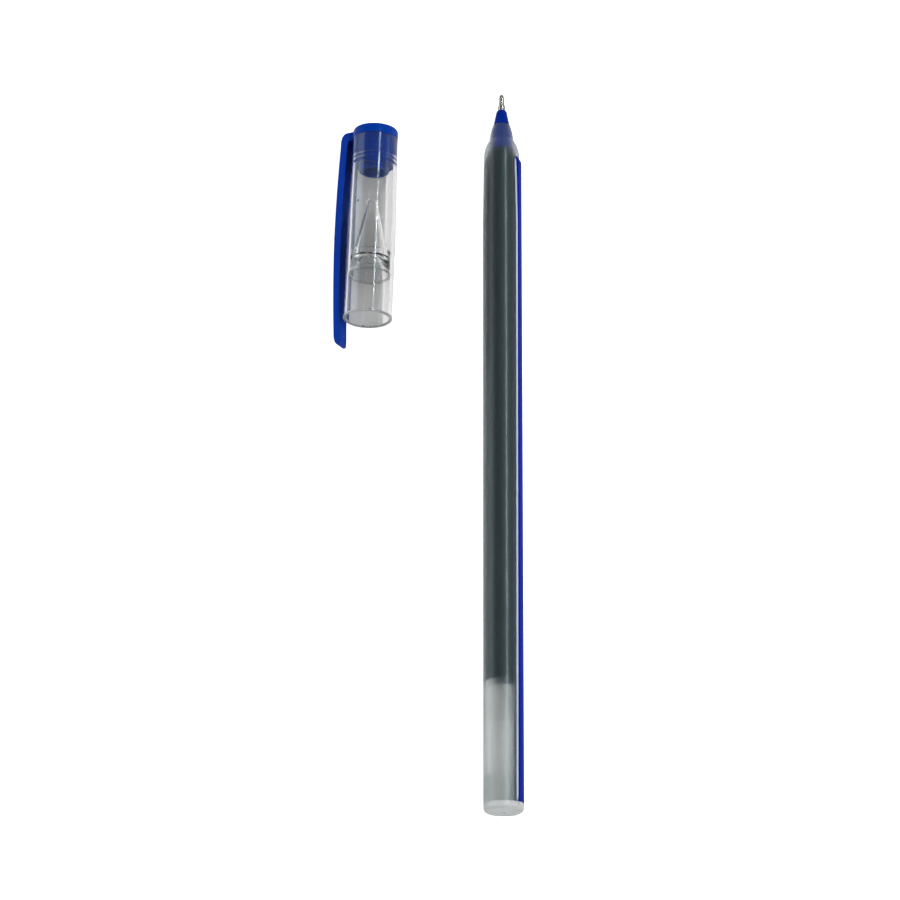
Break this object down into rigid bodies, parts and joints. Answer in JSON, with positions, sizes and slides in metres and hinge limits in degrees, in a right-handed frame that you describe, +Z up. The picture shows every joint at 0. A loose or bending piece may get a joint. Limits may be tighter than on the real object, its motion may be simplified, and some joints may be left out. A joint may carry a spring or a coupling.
{
  "type": "gel pen",
  "caption": "Direct-fill gel pen with a frosted see-through barrel, a raised blue side stripe and a steel point, lying uncapped beside its clear cap with a blue clip.",
  "frame": {"origin": "on the pen's axis, halfway between the writing point and the rear end", "axes": "+Y along the pen towards its writing point, +X towards the barrel's stripe and away from the cap, +Z up from the surface that both lie on"},
  "size_m": [0.0349, 0.1385, 0.0091],
  "materials": {
    "ball_metal": "polished carbide",
    "point_metal": "turned stainless steel",
    "blue_holder": "satin",
    "frosted_barrel": "frosted, translucent",
    "blue_stripe": "satin",
    "frosted_plug": "frosted, translucent",
    "gel_ink": "liquid gel, dark",
    "clear_grease": "clear grease",
    "clear_cap": "clear, polished",
    "clear_inner_cap": "clear",
    "blue_cap_plug": "satin",
    "blue_clip": "satin"
  },
  "bodies": {
    "pen": {"barrel": "frosted_barrel", "stripe": "blue_stripe", "end_plug": "frosted_plug", "tip_holder": "blue_holder", "metal_point": "point_metal", "ink": "gel_ink"},
    "ball": {"ball": "ball_metal"},
    "follower": {"ink_follower": "clear_grease"},
    "cap": {"cap_tube": "clear_cap", "inner_cap": "clear_inner_cap", "cap_plug": "blue_cap_plug"},
    "clip": {"clip": "blue_clip"}
  },
  "joints": [
    {"name": "ball_roll", "type": "hinge", "parent": "pen", "child": "ball", "pos_m": [0, 0.0689, 0], "axis": [1, 0, 0], "continuous": true},
    {"name": "follower_slide", "type": "slide", "parent": "pen", "child": "follower", "axis": [0, 1, 0], "range_m": [0, 0.1], "deforming": ["ink"]},
    {"name": "cap_slide", "type": "slide", "parent": "pen", "child": "cap", "axis": [0.3705, 0.9288, 0], "range_m": [0, 0.06675]},
    {"name": "clip_flex", "type": "hinge", "parent": "cap", "child": "clip", "pos_m": [-0.02755, 0.06116, -0.00092], "axis": [0.4461, -0.0134, -0.8949], "range_deg": [0, 3], "stiffness_Nm_per_rad": 1}
  ]
}
